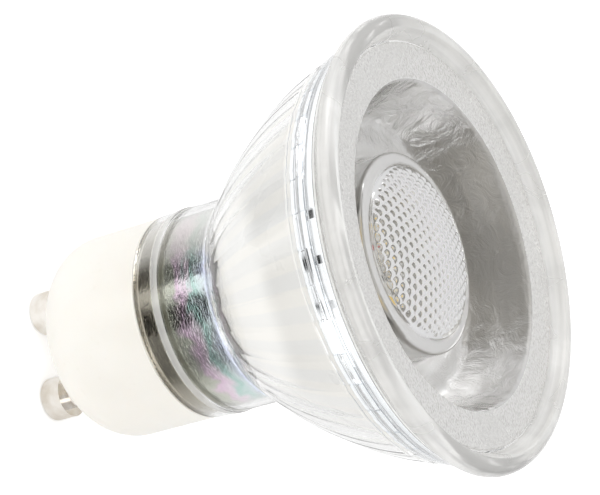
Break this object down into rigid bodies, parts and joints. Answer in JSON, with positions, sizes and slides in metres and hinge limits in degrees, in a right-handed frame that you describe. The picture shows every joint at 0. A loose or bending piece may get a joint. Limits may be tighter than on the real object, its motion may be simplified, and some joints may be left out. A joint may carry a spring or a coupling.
{
  "type": "reflector spotlight bulb",
  "caption": "Reflector spotlight bulb with a fluted glass body, a front lens with a honeycomb dome, a plastic base and headed twist-lock pins.",
  "frame": {"origin": "on the lamp axis, level with the tips of the contact pins", "axes": "+Z along the lamp axis, the way the light goes; X through the two contact pins"},
  "size_m": [0.05, 0.05, 0.0551],
  "materials": {
    "cream_plastic": "satin",
    "wire_black": "insulation",
    "wire_red": "insulation",
    "screw_steel": "zinc plated",
    "white_liner": "white, glossy",
    "chip_black": "matt",
    "bright_metal": "polished",
    "grey_cement": "matt",
    "pin_metal": "nickel plated",
    "board_green": "solder mask",
    "film_orange": "epoxy",
    "resistor_blue": "lacquered",
    "plated_aluminium": "bright, plated",
    "ferrite_grey": "matt",
    "copper_wire": "enamelled copper",
    "sleeve_plastic": "matt",
    "led_package": "phosphor in a white package",
    "clear_plastic": "clear, frosted flange",
    "clear_adhesive": "satin",
    "board_white": "white solder mask on metal",
    "wire_brown": "insulation",
    "metallised_cone": "metallised, satin",
    "wire_blue": "insulation",
    "clear_glass": "clear, moulded",
    "can_black": "sleeved",
    "thermal_grey": "matt"
  },
  "bodies": {
    "root": {"base_cap": "cream_plastic", "board_lead_minus": "wire_black", "board_lead_plus": "wire_red", "board_screw_1": "screw_steel", "board_screw_2": "screw_steel", "bowl_liner": "white_liner", "bridge_rectifier": "chip_black", "bright_band": "bright_metal", "cement_ring": "grey_cement", "contact_pin_1": "pin_metal", "contact_pin_2": "pin_metal", "driver_board": "board_green", "driver_chip": "chip_black", "film_capacitor": "film_orange", "fusible_resistor": "resistor_blue", "heat_sink": "plated_aluminium", "inductor_core": "ferrite_grey", "inductor_winding": "copper_wire", "insulating_sleeve": "sleeve_plastic", "led_1": "led_package", "led_2": "led_package", "led_3": "led_package", "led_4": "led_package", "led_5": "led_package", "led_6": "led_package", "led_7": "led_package", "led_8": "led_package", "lens": "clear_plastic", "lens_seal": "clear_adhesive", "light_board": "board_white", "live_wire": "wire_brown", "mirror_cone": "metallised_cone", "neutral_wire": "wire_blue", "reflector_glass": "clear_glass", "smoothing_capacitor": "can_black", "thermal_pad": "thermal_grey"}
  },
  "joints": []
}
